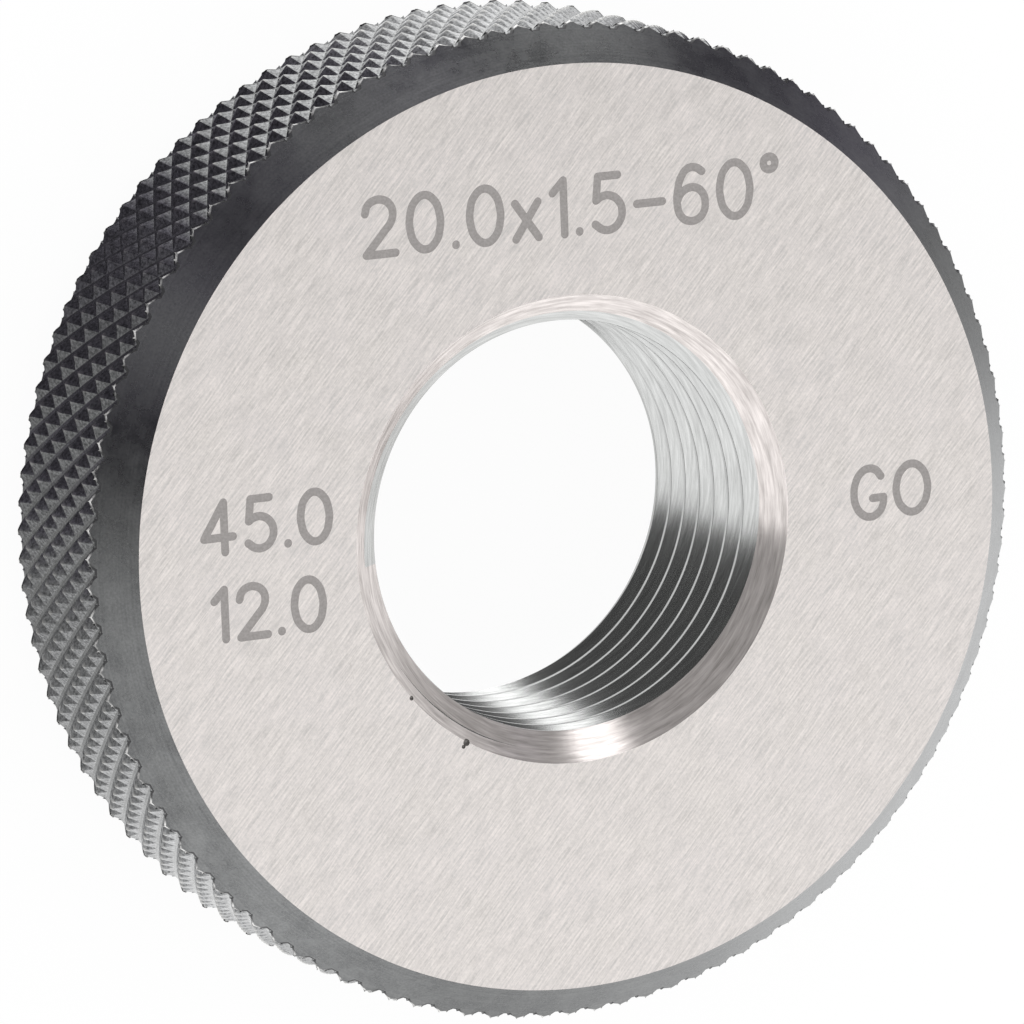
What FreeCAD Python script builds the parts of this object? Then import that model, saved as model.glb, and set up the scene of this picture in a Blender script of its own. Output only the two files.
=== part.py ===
import FreeCAD, Part
import math
import os

from FreeCAD import Vector

# Ring blank, in mm
outer_diameter = 45.0            # over the tips of the knurl
thickness = 12.0                 # back face to marked face
rim_chamfer_width = 1.75         # taken off the radius, at both ends of the rim
rim_chamfer_height = 2.0         # taken off the thickness, at both ends of the rim

# Bore, in mm: the crests of an M20 x 1.5 thread, with a countersink at each mouth
thread_crest_diameter = 18.344
bore_mouth_diameter = 21.0
countersink_depth = 0.85

# Diamond knurl with raised points, rolled into the rim
knurl_tooth_spacing = 1.285      # mm round the rim, tip to tip
knurl_helix_angle = 31.8         # degrees, of both sets of grooves against the axis
knurl_depth = 0.35               # mm, tip to groove bottom
knurl_row_height = 6.1           # mm above the back face, where one row of tips lies
knurl_start_angle = 0.93         # degrees round from +X, where a tip of that row lies

# What follows from those sizes
outer_radius = outer_diameter / 2
face_radius = outer_radius - rim_chamfer_width
groove_radius = outer_radius - knurl_depth
crest_radius = thread_crest_diameter / 2
mouth_radius = bore_mouth_diameter / 2
tooth_count = round(math.pi * outer_diameter / knurl_tooth_spacing)
tooth_angle = 360.0 / tooth_count
tip_spacing = math.pi * outer_diameter / tooth_count
row_spacing = tip_spacing / math.tan(math.radians(knurl_helix_angle)) / 2
axis_point = Vector(0, 0, 0)
axis = Vector(0, 0, 1)


def polar(radius, angle, height):
    turn = math.radians(angle)
    return Vector(radius * math.cos(turn), radius * math.sin(turn), height)


def flat_face(corners):
    return Part.Face(Part.makePolygon(corners + corners[:1]))


def knurl_column(place, rows):
    """Tips and groove crossings in turn, up the rim, at so many half teeth from the start."""
    angle = knurl_start_angle + place * tooth_angle / 2
    points = []
    for row in rows:
        radius = outer_radius if (row + place) % 2 == 0 else groove_radius
        points.append(polar(radius, angle, knurl_row_height + row * row_spacing))
    return points


def half_tooth(place):
    """A wedge from the ring's axis out to the knurl, half a tooth wide.

    The grooves join the crossings, so every pyramid ends up with four flat sides.
    """
    first_row = math.floor(-knurl_row_height / row_spacing)
    last_row = math.ceil((thickness - knurl_row_height) / row_spacing)
    rows = range(first_row, last_row + 1)
    left = knurl_column(place, rows)
    right = knurl_column(place + 1, rows)
    faces = []
    for step, row in enumerate(rows[:-1]):
        low_left, low_right = left[step], right[step]
        high_left, high_right = left[step + 1], right[step + 1]
        if (row + place) % 2 == 0:
            faces.append(flat_face([low_left, low_right, high_left]))
            faces.append(flat_face([low_right, high_right, high_left]))
        else:
            faces.append(flat_face([low_left, low_right, high_right]))
            faces.append(flat_face([low_left, high_right, high_left]))
    low_axis = Vector(0, 0, left[0].z)
    high_axis = Vector(0, 0, left[-1].z)
    faces.append(flat_face([low_axis] + left + [high_axis]))
    faces.append(flat_face([low_axis] + right + [high_axis]))
    faces.append(flat_face([low_axis, left[0], right[0]]))
    faces.append(flat_face([high_axis, left[-1], right[-1]]))
    return Part.Solid(Part.Shell(faces))


def chamfered_bar(place):
    """The blank's section, drawn straight across half a tooth.

    Its chamfers run on past the tips. Flat across so small an angle, they lie within
    0.003 mm of a true cone.
    """
    middle_angle = knurl_start_angle + (place + 0.5) * tooth_angle / 2
    flat = math.cos(math.radians(tooth_angle / 4))
    beyond = rim_chamfer_width
    slope = rim_chamfer_height / rim_chamfer_width
    inner = -tip_spacing
    outer = outer_radius + beyond
    end = rim_chamfer_height + beyond * slope
    section = [
        (inner, 0),
        (face_radius, 0),
        (outer, end),
        (outer, thickness - end),
        (face_radius, thickness),
        (inner, thickness),
    ]
    profile = flat_face([polar(radius * flat, middle_angle, height) for radius, height in section])
    across = polar(tip_spacing, middle_angle + 90, 0)
    profile.translate(-across)
    return profile.extrude(across * 2)


def is_rim_face(face):
    """False for a wedge's ends and for its two flat cuts through the ring's axis."""
    normal = face.Surface.Axis
    level = abs(normal.z) > 1 - 1e-6
    through_axis = abs(normal.z) < 1e-6 and abs(normal.dot(face.CenterOfMass)) < 1e-6
    return not level and not through_axis


def end_face(height):
    corners = []
    for place in range(2 * tooth_count):
        angle = knurl_start_angle + place * tooth_angle / 2
        corners.append(polar(face_radius, angle, height))
    return flat_face(corners)


def knurled_disc():
    rim = []
    for place in (0, 1):
        wedge = half_tooth(place).common(chamfered_bar(place))
        rim += [face for face in wedge.Faces if is_rim_face(face)]
    faces = [end_face(0), end_face(thickness)]
    for number in range(tooth_count):
        for face in rim:
            copy = face.copy()
            copy.rotate(axis_point, axis, number * tooth_angle)
            faces.append(copy)
    disc = Part.makeCompound(faces)
    disc.sewShape()
    return Part.Solid(disc.Shells[0])


def bore():
    section = [
        (0, 0),
        (mouth_radius, 0),
        (crest_radius, countersink_depth),
        (crest_radius, thickness - countersink_depth),
        (mouth_radius, thickness),
        (0, thickness),
    ]
    profile = flat_face([polar(radius, 0, height) for radius, height in section])
    return profile.revolve(axis_point, axis, 360)


def ring_body():
    return knurled_disc().cut(bore())


os.makedirs("parts", exist_ok=True)
ring_body().exportStep("parts/ring_body.step")
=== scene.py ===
import math

import bpy
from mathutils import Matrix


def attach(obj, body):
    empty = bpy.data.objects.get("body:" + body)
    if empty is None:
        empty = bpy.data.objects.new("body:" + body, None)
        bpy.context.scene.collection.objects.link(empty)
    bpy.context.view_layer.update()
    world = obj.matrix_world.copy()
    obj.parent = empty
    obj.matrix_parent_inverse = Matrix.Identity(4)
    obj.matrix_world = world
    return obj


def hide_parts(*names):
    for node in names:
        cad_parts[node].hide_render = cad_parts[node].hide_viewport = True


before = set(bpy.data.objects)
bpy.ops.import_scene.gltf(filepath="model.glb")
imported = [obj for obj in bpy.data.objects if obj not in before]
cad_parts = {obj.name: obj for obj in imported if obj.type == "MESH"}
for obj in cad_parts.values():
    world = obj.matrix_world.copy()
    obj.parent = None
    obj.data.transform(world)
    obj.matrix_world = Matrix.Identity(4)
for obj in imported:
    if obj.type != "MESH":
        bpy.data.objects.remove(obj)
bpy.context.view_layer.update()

mm = 0.001
weld = 0.0004 * mm
overrun = 0.7 * mm               # tools reach this far past the ring's two faces
smoothAngle = math.radians(24)   # edges sharper than this stay crisp


def report(text):
    print("ring gauge:", text)


def useOnly(thing):
    if bpy.context.mode != "OBJECT":
        bpy.ops.object.mode_set(mode="OBJECT")
    bpy.ops.object.select_all(action="DESELECT")
    bpy.context.view_layer.objects.active = thing
    thing.select_set(True)


def editFresh(thing, kind="FACE"):  # edit mode with nothing picked
    useOnly(thing)
    bpy.ops.object.mode_set(mode="EDIT")
    bpy.ops.mesh.select_mode(type=kind)
    bpy.ops.mesh.select_all(action="DESELECT")


def editAll(thing, kind="FACE"):
    editFresh(thing, kind)
    bpy.ops.mesh.select_all(action="SELECT")


def leaveEdit():
    bpy.ops.object.mode_set(mode="OBJECT")


def pick(thing, kind, test):  # into edit mode, with the parts picked that pass the test
    editFresh(thing, kind)
    leaveEdit()
    mesh = thing.data
    parts = {"VERT": mesh.vertices, "EDGE": mesh.edges, "FACE": mesh.polygons}[kind]
    for part in parts:
        part.select = test(part)
    bpy.ops.object.mode_set(mode="EDIT")


def newPiece(name):  # the primitive just added, with its place moved into its mesh
    made = bpy.context.active_object
    made.name = made.data.name = name
    bpy.ops.object.transform_apply(location=True, rotation=True, scale=True)
    return made


def applyModifier(thing, kind, **settings):
    useOnly(thing)
    bpy.ops.object.modifier_add(type=kind)
    made = thing.modifiers[-1]
    for name, value in settings.items():
        setattr(made, name, value)
    bpy.ops.object.modifier_apply(modifier=made.name)


def carve(thing, tool, operation, selfCrossing=False):  # an exact boolean, after which the tool is gone
    applyModifier(thing, "BOOLEAN", operation=operation, solver="EXACT", use_self=selfCrossing,
                  material_mode="TRANSFER", object=tool)
    bpy.data.objects.remove(tool)


def radiusOf(point):
    return math.hypot(point[0], point[1])


def turned(name, vertices, profile):  # a circle drawn out into a closed ring, through each (radius, height)
    radius, height = profile[0]
    bpy.ops.mesh.primitive_circle_add(vertices=vertices, radius=radius, location=(0, 0, height))
    ring = newPiece(name)
    editAll(ring, "EDGE")
    for nextRadius, nextHeight in profile[1:] + profile[:1]:
        bpy.ops.mesh.extrude_edges_move(TRANSFORM_OT_translate={"value": (0, 0, nextHeight - height)})
        scale = nextRadius / radius
        bpy.ops.transform.resize(value=(scale, scale, 1), center_override=(0, 0, 0))
        radius, height = nextRadius, nextHeight
    bpy.ops.mesh.select_all(action="SELECT")
    bpy.ops.mesh.remove_doubles(threshold=weld)
    bpy.ops.mesh.normals_make_consistent(inside=False)
    leaveEdit()
    return ring


blank = dict(
    thickness=12.0 * mm,
    faceRadius=20.75 * mm,       # where the flat face meets the chamfer
    tipRadius=22.5 * mm,         # over the knurl
    chamferHeight=2.0 * mm,
    mouthRadius=10.5 * mm,       # outer edge of the countersink
    crestRadius=9.172 * mm,      # thread crests
    countersinkDepth=0.85 * mm,
    rimStock=1.0 * mm,           # left outside the knurl, until it is rolled
    boreStock=0.4 * mm,          # left inside the thread, until it is cut
    facets=220,
)


def makeBlank():
    top = blank["thickness"]
    steepness = blank["chamferHeight"] / (blank["tipRadius"] - blank["faceRadius"])
    sinkSlope = blank["countersinkDepth"] / (blank["mouthRadius"] - blank["crestRadius"])
    rough = blank["tipRadius"] + blank["rimStock"]
    pilot = blank["crestRadius"] - blank["boreStock"]
    chamferEnd = (rough - blank["faceRadius"]) * steepness
    sinkEnd = (blank["mouthRadius"] - pilot) * sinkSlope
    return turned("ring", blank["facets"], [
        (blank["mouthRadius"], top),
        (blank["faceRadius"], top),
        (rough, top - chamferEnd),
        (rough, chamferEnd),
        (blank["faceRadius"], 0),
        (blank["mouthRadius"], 0),
        (pilot, sinkEnd),
        (pilot, top - sinkEnd),
    ])


def squareOff():  # the picked tool is cut level past both of the ring's faces, and its ends are closed
    for height, way in ((-overrun, -1), (blank["thickness"] + overrun, 1)):
        bpy.ops.mesh.bisect(plane_co=(0, 0, height), plane_no=(0, 0, way), clear_outer=True)
        bpy.ops.mesh.edge_face_add()
        bpy.ops.mesh.select_all(action="SELECT")
    bpy.ops.mesh.normals_make_consistent(inside=False)
    leaveEdit()


knurl = dict(
    teeth=110,
    tipRadius=blank["tipRadius"],
    grooveRadius=22.15 * mm,
    rowSpacing=1.0364 * mm,      # from one row of tips to the next, half a tooth round
    rowHeight=6.1 * mm,          # above the back face, where one row lies
    startAngle=math.radians(0.93),
    ridgeWidth=0.035 * mm,       # rolled knurls have slightly blunt ridges
    floorShare=0.22,             # the grooves of one hand have a flat floor, this much of their spacing
    lowRows=7,                   # below that row, and above it
    highRows=7,
)


def makeKnurledBar():  # drawn flat, in half teeth and rows, then wrapped round the bar
    half = math.pi / knurl["teeth"]
    groove, floorShare = knurl["grooveRadius"], knurl["floorShare"]
    bpy.ops.mesh.primitive_circle_add(vertices=4, fill_type="TRIFAN", rotation=(0, 0, math.pi / 4))
    bar = newPiece("knurledBar")
    pick(bar, "VERT", lambda v: radiusOf(v.co) < 0.1)
    bpy.ops.transform.translate(value=(0, 0, knurl["tipRadius"] - groove))
    leaveEdit()
    bar.scale.x = 1 - floorShare
    useOnly(bar)
    bpy.ops.object.transform_apply(location=False, rotation=False, scale=True)
    pick(bar, "EDGE", lambda e: all(bar.data.vertices[i].co.x > 0.1 for i in e.vertices))
    bpy.ops.mesh.extrude_edges_move(TRANSFORM_OT_translate={"value": (math.sqrt(2) * floorShare, 0, 0)})
    leaveEdit()
    bar.rotation_euler.z = math.pi / 4
    bar.location = (-knurl["lowRows"], -knurl["lowRows"], 0)
    bpy.ops.object.transform_apply(location=True, rotation=True, scale=False)
    applyModifier(bar, "ARRAY", use_relative_offset=False, use_constant_offset=True,
                  constant_offset_displace=(1, 1, 0), count=knurl["lowRows"] + knurl["highRows"] + 1)
    for v in bar.data.vertices:
        angle, radius = v.co.x * half + knurl["startAngle"], groove + v.co.z
        v.co = (radius * math.cos(angle), radius * math.sin(angle),
                knurl["rowHeight"] + v.co.y * knurl["rowSpacing"])
    editAll(bar)
    bpy.ops.mesh.spin(steps=knurl["teeth"] - 1, dupli=True, angle=2 * math.pi - 2 * half,
                      center=(0, 0, 0), axis=(0, 0, 1))
    bpy.ops.mesh.select_all(action="SELECT")
    bpy.ops.mesh.remove_doubles(threshold=weld)
    leaveEdit()

    def isRidge(e):              # it climbs from a groove to a tip
        low, high = sorted(radiusOf(bar.data.vertices[i].co) for i in e.vertices)
        return high - low > (knurl["tipRadius"] - groove) / 2

    pick(bar, "EDGE", isRidge)
    bpy.ops.mesh.bevel(offset=knurl["ridgeWidth"], segments=1, affect="EDGES")
    bpy.ops.mesh.select_all(action="SELECT")
    bpy.ops.mesh.remove_doubles(threshold=weld)
    squareOff()
    return bar


thread = dict(
    pitch=1.5 * mm,
    rootRadius=10.0 * mm,
    crestWidth=0.2 * mm,
    edgeBreak=0.012 * mm,        # crest edges, taken off by the lap
    rootBreak=0.06 * mm,
    flankAngle=math.radians(30),  # each flank stands this far off level, so 60 degrees apart
    crestHeight=5.546 * mm,      # a crest's middle, at +X
    lowTurns=6,                  # the tap starts this far below that crest
    turns=13,
    steps=180,
)


def makeTap():  # the thread's space, as one long screw
    pitch, root, crest = thread["pitch"], thread["rootRadius"], blank["crestRadius"]
    slope = 1 / math.tan(thread["flankAngle"])
    crestEdge = thread["crestWidth"] / 2
    rootEdge = crestEdge + (root - crest) / slope
    soft, deep = thread["edgeBreak"], thread["rootBreak"]
    half = [
        (crest, 0),
        (crest, crestEdge - soft),
        (crest + soft * slope / 2, crestEdge + soft / 2),
        (root - deep * slope / 2, rootEdge - deep / 2),
        (root, rootEdge + deep),
    ]
    profile = half + [(r, pitch - z) for r, z in reversed(half)]
    low = thread["crestHeight"] - thread["lowTurns"] * pitch
    bpy.ops.mesh.primitive_plane_add(size=mm, location=(profile[0][0], 0, low))
    tap = newPiece("tap")
    editAll(tap, "VERT")
    bpy.ops.mesh.merge(type="CENTER")
    for (r0, z0), (r1, z1) in zip(profile, profile[1:]):
        bpy.ops.mesh.extrude_region_move(TRANSFORM_OT_translate={"value": (r1 - r0, 0, z1 - z0)})
    leaveEdit()
    applyModifier(tap, "SCREW", axis="Z", angle=2 * math.pi, screw_offset=pitch, use_normal_calculate=True,
                  iterations=thread["turns"], steps=thread["steps"], render_steps=thread["steps"])
    editAll(tap)
    bpy.ops.mesh.remove_doubles(threshold=weld)
    squareOff()
    if max(tap.data.polygons, key=lambda f: f.center.z).normal.z < 0:  # a long screw may come out inside out
        editAll(tap)
        bpy.ops.mesh.flip_normals()
        leaveEdit()
    return tap


def linear(hexColour):  # an sRGB hex value as the linear colour that a node wants
    parts = [int(hexColour[i:i + 2], 16) / 255 for i in (1, 3, 5)]
    return [p / 12.92 if p <= 0.04045 else ((p + 0.055) / 1.055) ** 2.4 for p in parts] + [1]


def addNode(tree, kind, inputs=None, **settings):
    made = tree.nodes.new("ShaderNode" + kind)
    for name, value in settings.items():
        setattr(made, name, value)
    for name, value in (inputs or {}).items():
        if isinstance(value, bpy.types.NodeSocket):
            tree.links.new(value, made.inputs[name])
        else:
            made.inputs[name].default_value = value
    return made


def newMaterial(name):
    made = bpy.data.materials.new(name)
    made.use_nodes = True
    made.node_tree.nodes.clear()
    return made, made.node_tree


def finishMaterial(tree, inputs):
    shader = addNode(tree, "BsdfPrincipled", inputs)
    addNode(tree, "OutputMaterial", {"Surface": shader.outputs["BSDF"]})


def radiusNode(tree, place):  # distance from the bore's axis
    flat = addNode(tree, "VectorMath", {0: place, 1: (1, 1, 0)}, operation="MULTIPLY")
    return addNode(tree, "VectorMath", {0: flat.outputs["Vector"]}, operation="LENGTH").outputs["Value"]


groundFinish = dict(
    pale="#E4DFDB",
    dull="#C2BDB9",
    cloudPale="#E4DCD9",
    cloudDull="#C7C5C4",
    roughness=0.34,
    grainAngle=math.radians(48),  # the way the wheel ran over the marked face
    grainLength=1.5 * mm,
    grainWidth=0.085 * mm,
    mottleSize=0.13 * mm,
    cloudSize=2.5 * mm,
)


def makeGroundSteel():  # tool steel, surface ground: bright, with short straight scratches one way
    material, tree = newMaterial("groundSteel")
    place = addNode(tree, "TexCoord").outputs["Object"]
    grainPlace = addNode(tree, "Mapping", {
        "Vector": place, "Rotation": (0, 0, groundFinish["grainAngle"]),
        "Scale": (groundFinish["grainLength"], groundFinish["grainWidth"], groundFinish["grainLength"]),
    }, vector_type="TEXTURE")
    grain = addNode(tree, "TexNoise", {
        "Vector": grainPlace.outputs["Vector"], "Scale": 1.0, "Detail": 4.0, "Roughness": 0.65})
    mottle = addNode(tree, "TexNoise", {
        "Vector": place, "Scale": 1 / groundFinish["mottleSize"], "Detail": 2.0, "Roughness": 0.7})
    uneven = addNode(tree, "Math", {0: mottle.outputs["Fac"], 1: 0.45, 2: grain.outputs["Fac"]},
                     operation="MULTIPLY_ADD")
    strength = addNode(tree, "MapRange", {"Value": uneven.outputs["Value"], "From Min": 0.52, "From Max": 0.93})
    cloud = addNode(tree, "TexNoise", {
        "Vector": place, "Scale": 1 / groundFinish["cloudSize"], "Detail": 2.0})
    pale = addNode(tree, "Mix", {
        "Factor": cloud.outputs["Fac"], "A": linear(groundFinish["pale"]),
        "B": linear(groundFinish["cloudPale"])}, data_type="RGBA")
    dull = addNode(tree, "Mix", {
        "Factor": cloud.outputs["Fac"], "A": linear(groundFinish["dull"]),
        "B": linear(groundFinish["cloudDull"])}, data_type="RGBA")
    colour = addNode(tree, "Mix", {
        "Factor": strength.outputs["Result"], "A": dull.outputs["Result"],
        "B": pale.outputs["Result"]}, data_type="RGBA")
    gloss = addNode(tree, "MapRange", {
        "Value": grain.outputs["Fac"], "From Min": 0.3, "From Max": 0.7,
        "To Min": groundFinish["roughness"] + 0.06, "To Max": groundFinish["roughness"] - 0.06})
    relief = addNode(tree, "Bump", {
        "Height": uneven.outputs["Value"], "Strength": 0.35, "Distance": 0.003 * mm})
    finishMaterial(tree, {
        "Base Color": colour.outputs["Result"], "Metallic": 1.0,
        "Roughness": gloss.outputs["Result"], "Normal": relief.outputs["Normal"]})
    return material


oxideFinish = dict(
    pale="#B4B5B6",
    dull="#646566",
    wornAndHighlight="#DAD9D6",
    # the groove floors' colour is a painted highlight: pale, where they catch light
    groove="#B0B1AF",
    roughness=0.24,
    speckleSize=0.11 * mm,
    knurlSpeckle=0.15 * mm,
    smudgeSize=1.6 * mm,
    wornAndHighlightDepth=0.13 * mm,         # the points are rubbed pale, and painted pale as their highlight, down to here
    conePale="#9C9D9D",          # the chamfers' own tones
    coneDull="#7B7C7D",
    coneSmooth=0.22,
    coneRough=0.36,
    lineSpacing=0.09 * mm,
)


def makeKnurlOxide():  # black oxide over rolled steel: satin, rubbed pale at the points and painted pale there as their highlight, pale where the wheel slid, and the groove floors painted pale as a highlight
    material, tree = newMaterial("knurlOxide")
    place = addNode(tree, "TexCoord").outputs["Object"]
    radius = radiusNode(tree, place)
    speckle = addNode(tree, "TexNoise", {
        "Vector": place, "Scale": 1 / oxideFinish["knurlSpeckle"], "Detail": 4.0, "Roughness": 0.7})
    smudge = addNode(tree, "TexNoise", {
        "Vector": place, "Scale": 1 / oxideFinish["smudgeSize"], "Detail": 2.0})
    grain = addNode(tree, "MapRange", {"Value": speckle.outputs["Fac"], "From Min": 0.36, "From Max": 0.64})
    tone = addNode(tree, "Mix", {
        "Factor": grain.outputs["Result"], "A": linear(oxideFinish["dull"]),
        "B": linear(oxideFinish["pale"])}, data_type="RGBA")
    # real wear and painted highlight: the colour goes pale toward the points, for the rubbed oxide and for the
    # highlights they catch
    rubAndHighlight = addNode(tree, "MapRange", {
        "Value": radius, "From Min": knurl["tipRadius"] - oxideFinish["wornAndHighlightDepth"],
        "From Max": knurl["tipRadius"], "To Min": 0.0, "To Max": 1.9})
    patchy = addNode(tree, "Math", {0: rubAndHighlight.outputs["Result"], 1: smudge.outputs["Fac"]}, operation="MULTIPLY")
    rubbedAndLit = addNode(tree, "Mix", {
        "Factor": patchy.outputs["Value"], "A": tone.outputs["Result"],
        "B": linear(oxideFinish["wornAndHighlight"])}, data_type="RGBA")
    # painted highlight: the groove floors are tinted pale along their bottoms
    deep = addNode(tree, "MapRange", {
        "Value": radius, "From Min": knurl["grooveRadius"] + 0.01 * mm,
        "From Max": knurl["grooveRadius"] + 0.03 * mm, "To Min": 0.3, "To Max": 0.0})
    colour = addNode(tree, "Mix", {
        "Factor": deep.outputs["Result"], "A": rubbedAndLit.outputs["Result"],
        "B": linear(oxideFinish["groove"])}, data_type="RGBA")
    gloss = addNode(tree, "MapRange", {
        "Value": smudge.outputs["Fac"], "From Min": 0.3, "From Max": 0.7,
        "To Min": oxideFinish["roughness"] - 0.04, "To Max": oxideFinish["roughness"] + 0.06})
    relief = addNode(tree, "Bump", {
        "Height": speckle.outputs["Fac"], "Strength": 0.5, "Distance": 0.02 * mm})
    finishMaterial(tree, {
        "Base Color": colour.outputs["Result"], "Metallic": 1.0,
        "Roughness": gloss.outputs["Result"], "Normal": relief.outputs["Normal"]})
    return material


def makeChamferOxide():  # black oxide over a turned cone: satin, finely speckled and smudged by handling
    material, tree = newMaterial("chamferOxide")
    place = addNode(tree, "TexCoord").outputs["Object"]
    line = addNode(tree, "Math", {
        0: radiusNode(tree, place), 1: 1 / oxideFinish["lineSpacing"]}, operation="MULTIPLY")
    rings = addNode(tree, "TexNoise", {"W": line.outputs["Value"], "Scale": 1.0, "Detail": 3.0},
                    noise_dimensions="1D")
    faint = addNode(tree, "Math", {0: rings.outputs["Fac"], 1: 0.4}, operation="MULTIPLY")
    speckle = addNode(tree, "TexNoise", {
        "Vector": place, "Scale": 1 / oxideFinish["speckleSize"], "Detail": 2.0, "Roughness": 0.7})
    smudge = addNode(tree, "TexNoise", {
        "Vector": place, "Scale": 1 / oxideFinish["smudgeSize"], "Detail": 6.0, "Roughness": 0.65})
    skin = addNode(tree, "Math", {0: speckle.outputs["Fac"], 1: faint.outputs["Value"]}, operation="ADD")
    both = addNode(tree, "Math", {0: skin.outputs["Value"], 1: smudge.outputs["Fac"]}, operation="ADD")
    tone = addNode(tree, "MapRange", {"Value": both.outputs["Value"], "From Min": 0.85, "From Max": 1.55})
    colour = addNode(tree, "Mix", {
        "Factor": tone.outputs["Result"], "A": linear(oxideFinish["coneDull"]),
        "B": linear(oxideFinish["conePale"])}, data_type="RGBA")
    gloss = addNode(tree, "MapRange", {
        "Value": smudge.outputs["Fac"], "From Min": 0.3, "From Max": 0.7,
        "To Min": oxideFinish["coneSmooth"], "To Max": oxideFinish["coneRough"]})
    relief = addNode(tree, "Bump", {
        "Height": skin.outputs["Value"], "Strength": 0.4, "Distance": 0.005 * mm})
    finishMaterial(tree, {
        "Base Color": colour.outputs["Result"], "Metallic": 1.0,
        "Roughness": gloss.outputs["Result"], "Normal": relief.outputs["Normal"]})
    return material


turnedFinish = dict(
    lineSpacing=0.04 * mm,       # of the tool's rings round the bore
    streakLength=1.6 * mm,
)
sinkFinish = dict(
    pale="#F0E9E6",
    dull="#B9B3B0",
    metallic=0.7,
    roughness=0.17,
    relief=0.4,
)
threadFinish = dict(
    pale="#D6D7D6",
    dull="#B8B9B8",
    metallic=1.0,
    roughness=0.2,
    relief=0.12,
)


def makeTurnedSteel(name, finish):  # tool steel, turned or lapped: bright, with fine rings round the bore
    material, tree = newMaterial(name)
    place = addNode(tree, "TexCoord").outputs["Object"]
    height = addNode(tree, "SeparateXYZ", {"Vector": place})
    total = addNode(tree, "Math", {0: radiusNode(tree, place), 1: height.outputs["Z"]}, operation="SUBTRACT")
    line = addNode(tree, "Math", {
        0: total.outputs["Value"], 1: 1 / turnedFinish["lineSpacing"]}, operation="MULTIPLY")
    across = addNode(tree, "CombineXYZ", {"Z": line.outputs["Value"]})
    around = addNode(tree, "Mapping", {"Vector": place, "Scale": [turnedFinish["streakLength"]] * 3},
                     vector_type="TEXTURE")
    spot = addNode(tree, "VectorMath", {0: around.outputs["Vector"], 1: across.outputs["Vector"]},
                   operation="ADD")
    rings = addNode(tree, "TexNoise", {
        "Vector": spot.outputs["Vector"], "Scale": 1.0, "Detail": 3.0, "Roughness": 0.6})
    tone = addNode(tree, "MapRange", {"Value": rings.outputs["Fac"], "From Min": 0.3, "From Max": 0.7})
    colour = addNode(tree, "Mix", {
        "Factor": tone.outputs["Result"], "A": linear(finish["dull"]),
        "B": linear(finish["pale"])}, data_type="RGBA")
    relief = addNode(tree, "Bump", {
        "Height": rings.outputs["Fac"], "Strength": finish["relief"], "Distance": 0.01 * mm})
    finishMaterial(tree, {
        "Base Color": colour.outputs["Result"], "Metallic": finish["metallic"],
        "Roughness": finish["roughness"], "Normal": relief.outputs["Normal"]})
    return material


etchFinish = dict(
    pale="#9B9795",
    dull="#8B8785",
    speckleSize=0.12 * mm,
    metallic=0.2,
    roughness=0.62,
)


def makeEtched():  # steel marked by a laser: a thin dull oxide, without gloss
    material, tree = newMaterial("etchedMark")
    place = addNode(tree, "TexCoord").outputs["Object"]
    speckle = addNode(tree, "TexNoise", {
        "Vector": place, "Scale": 1 / etchFinish["speckleSize"], "Detail": 3.0})
    tone = addNode(tree, "MapRange", {"Value": speckle.outputs["Fac"], "From Min": 0.3, "From Max": 0.7})
    colour = addNode(tree, "Mix", {
        "Factor": tone.outputs["Result"], "A": linear(etchFinish["dull"]),
        "B": linear(etchFinish["pale"])}, data_type="RGBA")
    finishMaterial(tree, {
        "Base Color": colour.outputs["Result"], "Metallic": etchFinish["metallic"],
        "Roughness": etchFinish["roughness"]})
    return material


nickFinish = dict(
    pale="#A8A4A1",
    dull="#7C7876",
    speckleSize=0.1 * mm,
    metallic=0.8,
    roughness=0.5,
)


def makeNicked():  # steel knocked in at the edges, dark where the light does not reach
    material, tree = newMaterial("nickedSteel")
    place = addNode(tree, "TexCoord").outputs["Object"]
    speckle = addNode(tree, "TexNoise", {
        "Vector": place, "Scale": 1 / nickFinish["speckleSize"], "Detail": 2.0})
    colour = addNode(tree, "Mix", {
        "Factor": speckle.outputs["Fac"], "A": linear(nickFinish["dull"]),
        "B": linear(nickFinish["pale"])}, data_type="RGBA")
    finishMaterial(tree, {
        "Base Color": colour.outputs["Result"], "Metallic": nickFinish["metallic"],
        "Roughness": nickFinish["roughness"]})
    return material


lip = dict(
    width=0.08 * mm,             # of the rounding between knurl and chamfer
    segments=3,
    # near-white is bare steel with a painted highlight; the black is oxide with painted shade
    bareAndHighlight="#F4F3F1",
    blackAndShade="#4A4A4B",
    bareAndHighlightDepth=0.15 * mm,         # below the knurl's tips: rubbed bare, and painted near-white as its highlight, down to here
    blackAndShadeDepth=0.27 * mm,        # and black from here: oxide, darkened as painted shade in the notches
    patchSize=0.3 * mm,
    metallic=0.55,
    roughness=0.4,
)


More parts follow.
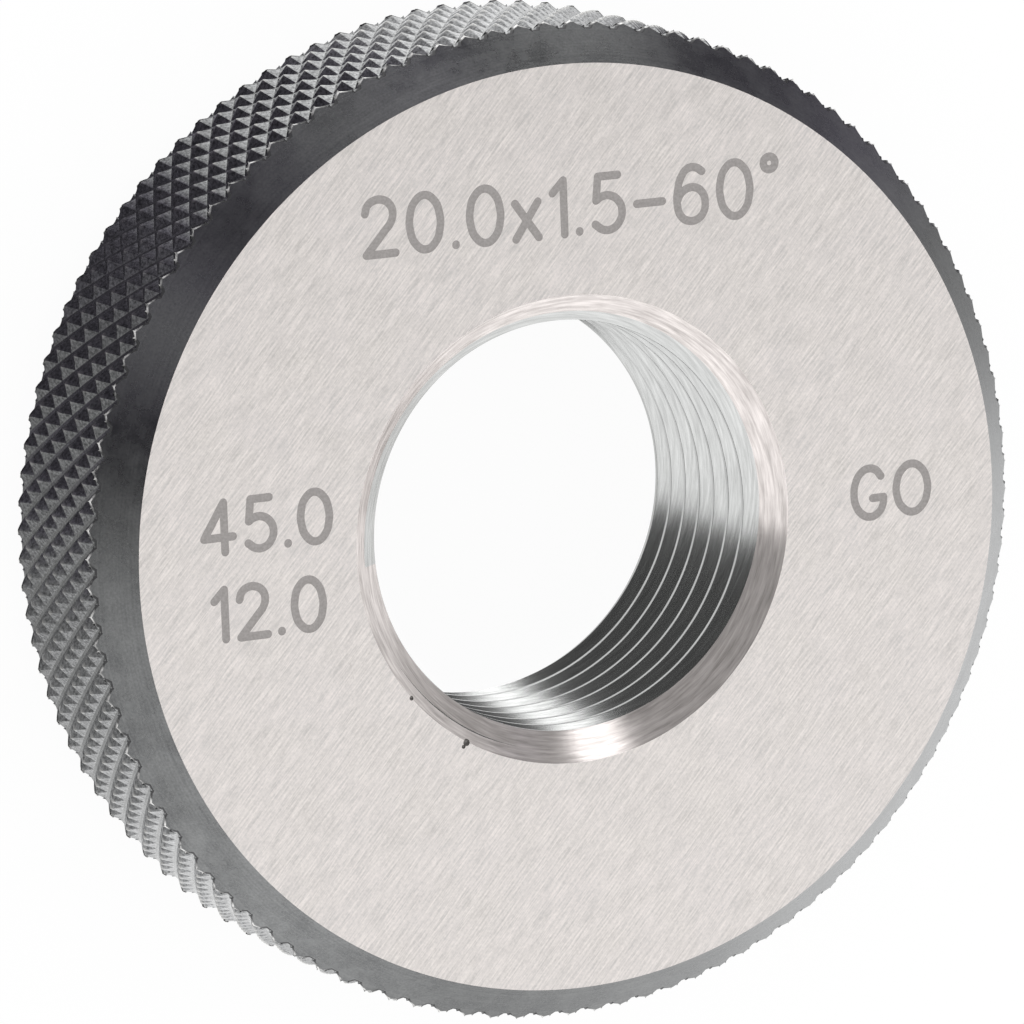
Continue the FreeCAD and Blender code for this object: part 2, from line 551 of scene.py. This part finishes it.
def makeBareAndLitEdge():  # steel lip, rubbed bare where it stands out and painted near-white there as its highlight; black oxide left in the notches, darkened further as painted shade
    material, tree = newMaterial("bareAndLitEdge")
    place = addNode(tree, "TexCoord").outputs["Object"]
    patches = addNode(tree, "TexNoise", {"Vector": place, "Scale": 1 / lip["patchSize"], "Detail": 2.0})
    tone = addNode(tree, "MapRange", {"Value": patches.outputs["Fac"], "From Min": 0.35, "From Max": 0.6})
    proud = addNode(tree, "MapRange", {
        "Value": radiusNode(tree, place), "From Min": knurl["tipRadius"] - lip["blackAndShadeDepth"],
        "From Max": knurl["tipRadius"] - lip["bareAndHighlightDepth"]})
    bareAndHighlight = addNode(tree, "Math", {0: tone.outputs["Result"], 1: proud.outputs["Result"]}, operation="MULTIPLY")
    colour = addNode(tree, "Mix", {
        "Factor": bareAndHighlight.outputs["Value"], "A": linear(lip["blackAndShade"]), "B": linear(lip["bareAndHighlight"])},
        data_type="RGBA")
    finishMaterial(tree, {
        "Base Color": colour.outputs["Result"], "Metallic": lip["metallic"], "Roughness": lip["roughness"]})
    return material


finishes = {
    "face": makeGroundSteel(),
    "mark": makeEtched(),
    "nick": makeNicked(),
    "knurl": makeKnurlOxide(),
    "chamfer": makeChamferOxide(),
    "sink": makeTurnedSteel("turnedSteel", sinkFinish),
    "thread": makeTurnedSteel("lappedThread", threadFinish),
    "burr": makeBareAndLitEdge(),
}
report("materials mixed")


marks = dict(
    strokeWidth=0.37 * mm,
    depth=0.02 * mm,
    letterGap=0.3,               # of the letter height
    lines=[  # text, letter height, and the foot of its left end
        ("20.0x1.5–60°", 2.4 * mm, -9.5 * mm, 13.22 * mm),
        ("GO", 2.2 * mm, 13.8 * mm, -1.05 * mm),
        ("45.0", 2.2 * mm, -17.65 * mm, 0.9 * mm),
        ("12.0", 2.2 * mm, -17.3 * mm, -2.95 * mm),
    ],
    nickSink=0.25,               # a knock's middle lies this share of its radius below the face
    nicks=[  # place and radius of a small knock
        (-8.15 * mm, -6.62 * mm, 0.11 * mm),
        (-5.60 * mm, -8.93 * mm, 0.17 * mm),
        (-5.75 * mm, -9.10 * mm, 0.1 * mm),
    ],
    scratchWidth=0.05 * mm,
    scratchDepth=0.01 * mm,
    scratches=[  # two ends of a fine line
        ((-11.03 * mm, -4.7 * mm), (-10.9 * mm, -5.4 * mm)),
        ((-13.25 * mm, -7.3 * mm), (-13.02 * mm, -8.0 * mm)),
    ],
)
letterShapes = {  # on a height of 1: the letter's width, then its strokes; a smooth one is a curve
    "0": (0.60, [("loop", [(0.3, 1), (0.1, 0.88), (0, 0.6), (0, 0.4), (0.1, 0.12), (0.3, 0), (0.5, 0.12),
                           (0.6, 0.4), (0.6, 0.6), (0.5, 0.88)])]),
    "1": (0.22, [("straight", [(0, 0.78), (0.22, 1), (0.22, 0)])]),
    "2": (0.60, [("smooth", [(0.02, 0.76), (0.07, 0.9), (0.2, 0.99), (0.38, 0.99), (0.52, 0.89), (0.57, 0.73),
                             (0.52, 0.56), (0.4, 0.42)]),
                 ("straight", [(0.4, 0.42), (0.02, 0), (0.6, 0)])]),
    "4": (0.62, [("straight", [(0.44, 0), (0.44, 1), (0, 0.3), (0.62, 0.3)])]),
    "5": (0.57, [("straight", [(0.5, 1), (0.1, 1), (0.05, 0.56)]),
                 ("smooth", [(0.05, 0.56), (0.18, 0.63), (0.34, 0.63), (0.5, 0.52), (0.57, 0.33), (0.51, 0.13),
                             (0.36, 0.01), (0.18, 0.01), (0.02, 0.12)])]),
    "6": (0.58, [("smooth", [(0.52, 0.9), (0.4, 0.98), (0.24, 0.98), (0.1, 0.84), (0.02, 0.6), (0, 0.34),
                             (0.06, 0.12), (0.2, 0.01), (0.38, 0.01), (0.52, 0.12), (0.57, 0.31), (0.52, 0.5),
                             (0.38, 0.61), (0.22, 0.61), (0.08, 0.52), (0.01, 0.4)])]),
    "–": (0.52, [("straight", [(0, 0.42), (0.52, 0.42)])]),
    "x": (0.46, [("straight", [(0, 0), (0.46, 0.66)]), ("straight", [(0, 0.66), (0.46, 0)])]),
    ".": (0.0, [("straight", [(0, 0.02), (0, 0.03)])]),
    "G": (0.67, [("smooth", [(0.62, 0.82), (0.5, 0.96), (0.34, 1), (0.16, 0.92), (0.03, 0.7), (0, 0.5),
                             (0.03, 0.28), (0.16, 0.08), (0.34, 0), (0.52, 0.05), (0.64, 0.2), (0.67, 0.38)]),
                 ("straight", [(0.42, 0.38), (0.67, 0.38)])]),
    "O": (0.70, [("loop", [(0.35, 1), (0.12, 0.88), (0, 0.6), (0, 0.4), (0.12, 0.12), (0.35, 0), (0.58, 0.12),
                           (0.7, 0.4), (0.7, 0.6), (0.58, 0.88)])]),
    "°": (0.24, [("loop", [(0.12, 1.04), (0.0, 0.92), (0.12, 0.8), (0.24, 0.92)])]),
}


def drawStroke(points, manner, width):  # a round bar along the points, which becomes a groove
    line = bpy.data.curves.new("stroke", "CURVE")
    line.dimensions = "3D"
    line.bevel_depth = width / 2
    line.bevel_resolution = 2
    line.use_fill_caps = True
    line.resolution_u = 6
    if manner == "straight":     # each run is a spline of its own, because a sharp corner thins the line
        for ends in zip(points, points[1:]):
            spline = line.splines.new("POLY")
            spline.points.add(1)
            for spot, (x, y) in zip(spline.points, ends):
                spot.co = (x, y, 0, 1)
    else:
        spline = line.splines.new("BEZIER")
        spline.use_cyclic_u = manner == "loop"
        spline.bezier_points.add(len(points) - 1)
        for spot, (x, y) in zip(spline.bezier_points, points):
            spot.co = (x, y, 0)
            spot.handle_left_type = spot.handle_right_type = "AUTO"
    stroke = bpy.data.objects.new("stroke", line)
    bpy.context.scene.collection.objects.link(stroke)
    useOnly(stroke)
    bpy.ops.object.convert(target="MESH")
    made = [bpy.context.active_object]
    for x, y in points if manner == "straight" else points[::len(points) - 1]:
        if manner != "loop":
            bpy.ops.mesh.primitive_uv_sphere_add(segments=16, ring_count=8, radius=width / 2,
                                                 location=(x, y, 0))
            made.append(bpy.context.active_object)
    return made


def joinAll(pieces, name):
    bpy.ops.object.select_all(action="DESELECT")
    for piece in pieces:
        piece.select_set(True)
    bpy.context.view_layer.objects.active = pieces[0]
    bpy.ops.object.join()
    return newPiece(name)


def flattened(pieces, name, depth, width, finish):  # half above the marked face, half below
    tool = joinAll(pieces, name)
    tool.data.materials.clear()
    tool.data.materials.append(finish)
    editAll(tool)
    bpy.ops.transform.resize(value=(1, 1, 2 * depth / width), center_override=(0, 0, 0))
    bpy.ops.transform.translate(value=(0, 0, blank["thickness"]))
    leaveEdit()
    return tool


def makeEngraver():  # everything that is cut into the marked face
    strokes = []
    for text, height, left, foot in marks["lines"]:
        for letter in text:
            reach, shapes = letterShapes[letter]
            for manner, points in shapes:
                spots = [(left + x * height, foot + y * height) for x, y in points]
                strokes += drawStroke(spots, manner, marks["strokeWidth"])
            left += (reach + marks["letterGap"]) * height
    lines = []
    for ends in marks["scratches"]:
        lines += drawStroke(ends, "straight", marks["scratchWidth"])
    dents = []
    for x, y, size in marks["nicks"]:
        bpy.ops.mesh.primitive_ico_sphere_add(subdivisions=2, radius=size,
                                              location=(x, y, blank["thickness"] - marks["nickSink"] * size))
        dents.append(bpy.context.active_object)
    punch = joinAll(dents, "punch")
    punch.data.materials.append(finishes["nick"])
    return joinAll([
        flattened(strokes, "letters", marks["depth"], marks["strokeWidth"], finishes["mark"]),
        flattened(lines, "scriber", marks["scratchDepth"], marks["scratchWidth"], finishes["face"]),
        punch,
    ], "engraver")


ring = makeBlank()
ring.data.materials.append(finishes["face"])
report("blank turned")
carve(ring, makeEngraver(), "DIFFERENCE", selfCrossing=True)
report("face marked")
carve(ring, makeKnurledBar(), "INTERSECT")
report("knurl rolled")
carve(ring, makeTap(), "DIFFERENCE")
report("thread cut")


zones = dict(
    chamferLean=0.5,             # how level a face lies: 1 is flat
    sinkLean=0.8,
    mouthSlack=0.01 * mm,
    runOut=0.26 * mm,            # a thread groove shallower than this is one with the countersink
)


def zoneOf(face):
    x, y, z = face.center
    radius = radiusOf((x, y))
    level = min(z, blank["thickness"] - z)
    lean = abs(face.normal.z)
    sinkDepth = (blank["mouthRadius"] - radius) * blank["countersinkDepth"] / (
        blank["mouthRadius"] - blank["crestRadius"])
    if radius > blank["faceRadius"]:
        return "chamfer" if lean > zones["chamferLean"] else "knurl"
    if radius > blank["mouthRadius"] - zones["mouthSlack"]:
        return "face"
    onCone = abs(level - sinkDepth) < zones["runOut"]
    return "sink" if onCone and lean > zones["sinkLean"] else "thread"


slots = ring.data.materials
for finish in finishes.values():
    if slots.find(finish.name) < 0:
        slots.append(finish)
sides = {}                       # of each edge: the zones that meet there
for face in ring.data.polygons:
    zone = zoneOf(face)
    if face.material_index in (0, slots.find(finishes["face"].name)):
        face.material_index = slots.find(finishes[zone].name)
    for key in face.edge_keys:
        sides.setdefault(key, set()).add(zone)
pick(ring, "EDGE", lambda e: sides.get(e.key) == {"knurl", "chamfer"})
bpy.ops.mesh.bevel(offset=lip["width"], segments=lip["segments"], affect="EDGES",
                   material=slots.find(finishes["burr"].name))
leaveEdit()
bpy.ops.object.shade_smooth_by_angle(angle=smoothAngle)
flatSides = {slots.find(finishes[zone].name) for zone in ("face", "mark", "nick")}
touching = {}                    # of each edge: the finishes that meet there, sharply if one is flat
for face in ring.data.polygons:
    for key in face.edge_keys:
        touching.setdefault(key, set()).add(face.material_index)
pick(ring, "EDGE", lambda e: len(touching.get(e.key, ())) > 1 and bool(touching[e.key] & flatSides))
bpy.ops.mesh.mark_sharp()
leaveEdit()
applyModifier(ring, "WEIGHTED_NORMAL", keep_sharp=True)
report("edges softened")
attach(ring, "root")
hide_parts("ring_body")


photo = dict(
    place=(-162.126 * mm, 75.624 * mm, 369.777 * mm),
    turn=(math.radians(-9.81621), math.radians(-24.36498), math.radians(-2.32851)),
    lens=318.24,
    sensor=36,
    nearest=0.01,
)

bpy.ops.object.camera_add(location=photo["place"], rotation=photo["turn"])
camera = bpy.context.active_object
camera.data.lens = photo["lens"]
camera.data.sensor_width = photo["sensor"]
camera.data.clip_start = photo["nearest"]
bpy.context.scene.camera = camera


studio = dict(
    skyLight=1.2,
    strip=dict(azimuth=66, elevation=38, distance=0.45, width=0.1, height=0.15, radiance=2.2),
    floorSize=3.0,
    floorDrop=0.02 * mm,         # the floor lies this far below the ring's back
    floorColour="#F2F2F2",
    floorShare=0.95,             # of plain white in what is seen of it, the rest takes the shadow
    tableDepth=10 * mm,          # the steel sees its white table this far below
    tableLight=[  # angle round the ring, and the light there as the steel sees it
        (-180, 0.36), (-174, 0.38), (-168, 0.42), (-158, 0.45), (-148, 0.6), (-138, 0.85), (-128, 1.1),
        (-112, 1.25), (-96, 0.8), (-84, 0.72), (-60, 0.95), (-52, 1.2), (-39, 1.25), (-15, 1.25), (-7, 1.15),
        (3, 0.63), (14, 0.4), (26, 0.26), (38, 0.14), (50, 0.1), (60, 1.1), (70, 1.6), (96, 1.3), (108, 0.95),
        (114, 0.6), (120, 0.25), (126, 0.12), (132, 0.08), (160, 0.08), (168, 0.15), (180, 0.36),
    ],
    roomLight=[  # the same for the walls
        (-180, 0.33), (-169, 0.46), (-154, 0.56), (-135, 0.48), (-110, 0.4), (-95, 0.46), (-80, 0.75),
        (-60, 1.2), (-22, 1.2), (-10, 1.1), (0, 0.8), (10, 0.65), (32, 0.5), (45, 0.22), (52, 0.05),
        (67, 0.02), (76, 0.04), (85, 0.24), (105, 0.34), (115, 0.22), (122, 0.08), (130, 0.06), (138, 0.26),
        (148, 0.46), (157, 0.2), (164, 0.05), (174, 0.05), (180, 0.33),
    ],
    coolBelow=0.3,               # the dark parts of the room are cool
    coolTint=(1.02, 0.96, 1.14),
    roomRadius=0.6,
    wallHeight=0.2,
    wallTilt=(0.086, -0.322, 1),  # the walls are higher behind the ring
    ceilingTurn=math.radians(97),
    ceilingLight=0.09,
    cardLift=1 * mm,             # paper and cloth lie this far above the table
    paperRadius=20 * mm,
    paperLight=0.85,
    clothStart=math.radians(20),
    clothEnd=math.radians(115),
    clothInner=48 * mm,
    clothLight=0.05,
)

bpy.ops.mesh.primitive_plane_add(size=studio["floorSize"], location=(0, 0, -studio["floorDrop"]))
floor = newPiece("floor")
floorMaterial, tree = newMaterial("whiteFloor")
rays = addNode(tree, "LightPath")
seen = addNode(tree, "Math", {0: rays.outputs["Is Camera Ray"], 1: rays.outputs["Is Transmission Ray"]},
               operation="MAXIMUM")
mirrored = addNode(tree, "Math", {0: seen.outputs["Value"], 1: rays.outputs["Is Glossy Ray"]},
                   operation="MAXIMUM")
share = addNode(tree, "Math", {0: mirrored.outputs["Value"], 1: studio["floorShare"]}, operation="MULTIPLY")
matt = addNode(tree, "BsdfDiffuse", {"Color": linear(studio["floorColour"])})
white = addNode(tree, "Emission", {"Color": (1, 1, 1, 1), "Strength": 1.0})
mixed = addNode(tree, "MixShader", {
    0: share.outputs["Value"], 1: matt.outputs["BSDF"], 2: white.outputs["Emission"]})
addNode(tree, "OutputMaterial", {"Surface": mixed.outputs["Shader"]})
floor.data.materials.append(floorMaterial)

world = bpy.data.worlds.new("studio")
bpy.context.scene.world = world
world.use_nodes = True
world.cycles.sampling_method = "NONE"
sky = world.node_tree.nodes["Background"].inputs
sky["Color"].default_value = (1, 1, 1, 1)
sky["Strength"].default_value = studio["skyLight"]


def glow(name, strength):
    material, tree = newMaterial(name)
    light = addNode(tree, "Emission", {"Color": (1, 1, 1, 1), "Strength": strength})
    addNode(tree, "OutputMaterial", {"Surface": light.outputs["Emission"]})
    return material


def glowAround(name, levels):  # a card whose light changes round the ring
    material, tree = newMaterial(name)
    place = addNode(tree, "TexCoord").outputs["Object"]
    around = addNode(tree, "TexGradient", {"Vector": place}, gradient_type="RADIAL")
    ramp = addNode(tree, "ValToRGB", {"Fac": around.outputs["Fac"]})
    peak = max(level for angle, level in levels)
    stops = ramp.color_ramp.elements
    stops.remove(stops[1])
    for number, (angle, level) in enumerate(levels):
        share = (angle + 180) / 360
        stop = stops.new(share) if number else stops[0]
        stop.position = share
        tint = studio["coolTint"] if level < studio["coolBelow"] else (1, 1, 1)
        stop.color = [min(1, level / peak * part) for part in tint] + [1]
    light = addNode(tree, "Emission", {"Color": ramp.outputs["Color"], "Strength": peak})
    addNode(tree, "OutputMaterial", {"Surface": light.outputs["Emission"]})
    return material


def onlyInReflections(card, finish):  # neither camera, shadow nor soft light sees such a card
    card.data.materials.append(finish)
    card.visible_camera = card.visible_diffuse = card.visible_transmission = False
    card.visible_volume_scatter = card.visible_shadow = False
    return card


def disc(name, radius, height):
    bpy.ops.mesh.primitive_circle_add(vertices=96, radius=radius, fill_type="NGON", location=(0, 0, height))
    return newPiece(name)


def dome(name, cuts):  # a sphere cut by planes, each with a point and the way to what goes
    bpy.ops.mesh.primitive_uv_sphere_add(segments=96, ring_count=48, radius=studio["roomRadius"])
    made = newPiece(name)
    editAll(made)
    for point, way in cuts:
        bpy.ops.mesh.bisect(plane_co=point, plane_no=way, clear_outer=True)
        bpy.ops.mesh.select_all(action="SELECT")
    leaveEdit()
    return made


floor.visible_glossy = False     # the cards below stand in for it in the steel
tableHeight = -studio["tableDepth"]
cardHeight = tableHeight + studio["cardLift"]
table = onlyInReflections(disc("table", studio["roomRadius"], tableHeight),
                          glowAround("tableCard", studio["tableLight"]))
paper = onlyInReflections(disc("paper", studio["paperRadius"], cardHeight),
                          glow("paperCard", studio["paperLight"]))
walls = onlyInReflections(dome("walls", [
    ((0, 0, studio["wallHeight"]), studio["wallTilt"]), ((0, 0, tableHeight), (0, 0, -1)),
]), glowAround("wallCard", studio["roomLight"]))
turn = studio["ceilingTurn"]
ceiling = onlyInReflections(dome("ceiling", [
    ((0, 0, studio["wallHeight"]), [-part for part in studio["wallTilt"]]),
    ((0, 0, 0), (-math.cos(turn), -math.sin(turn), 0)),
]), glow("ceilingCard", studio["ceilingLight"]))
bpy.ops.mesh.primitive_plane_add(size=mm, location=(studio["clothInner"], 0, cardHeight))
cloth = newPiece("cloth")        # a dark sector on the far side of the table
editAll(cloth)
bpy.ops.mesh.merge(type="CENTER")
bpy.ops.mesh.select_all(action="SELECT")
bpy.ops.mesh.extrude_region_move(TRANSFORM_OT_translate={
    "value": (studio["roomRadius"] - studio["clothInner"], 0, 0)})
bpy.ops.mesh.select_all(action="SELECT")
bpy.ops.mesh.spin(steps=32, angle=studio["clothStart"] - studio["clothEnd"], center=(0, 0, 0), axis=(0, 0, 1))
leaveEdit()
cloth.rotation_euler.z = studio["clothStart"]
bpy.ops.object.transform_apply(location=False, rotation=True, scale=False)
onlyInReflections(cloth, glow("clothCard", studio["clothLight"]))


def softbox(name, azimuth, elevation, distance, width, height, radiance):  # it faces the ring
    a, e = math.radians(azimuth), math.radians(elevation)
    spot = (distance * math.cos(a) * math.cos(e), distance * math.sin(a) * math.cos(e),
            distance * math.sin(e))
    bpy.ops.object.light_add(type="AREA", location=spot,
                             rotation=(math.pi / 2 - e, 0, a + math.pi / 2))
    lamp = bpy.context.active_object
    lamp.name = name
    lamp.data.shape = "RECTANGLE"
    lamp.data.size, lamp.data.size_y = width, height
    lamp.data.energy = radiance * math.pi * width * height


softbox("strip", **studio["strip"])
bpy.context.scene.view_settings.view_transform = "Standard"
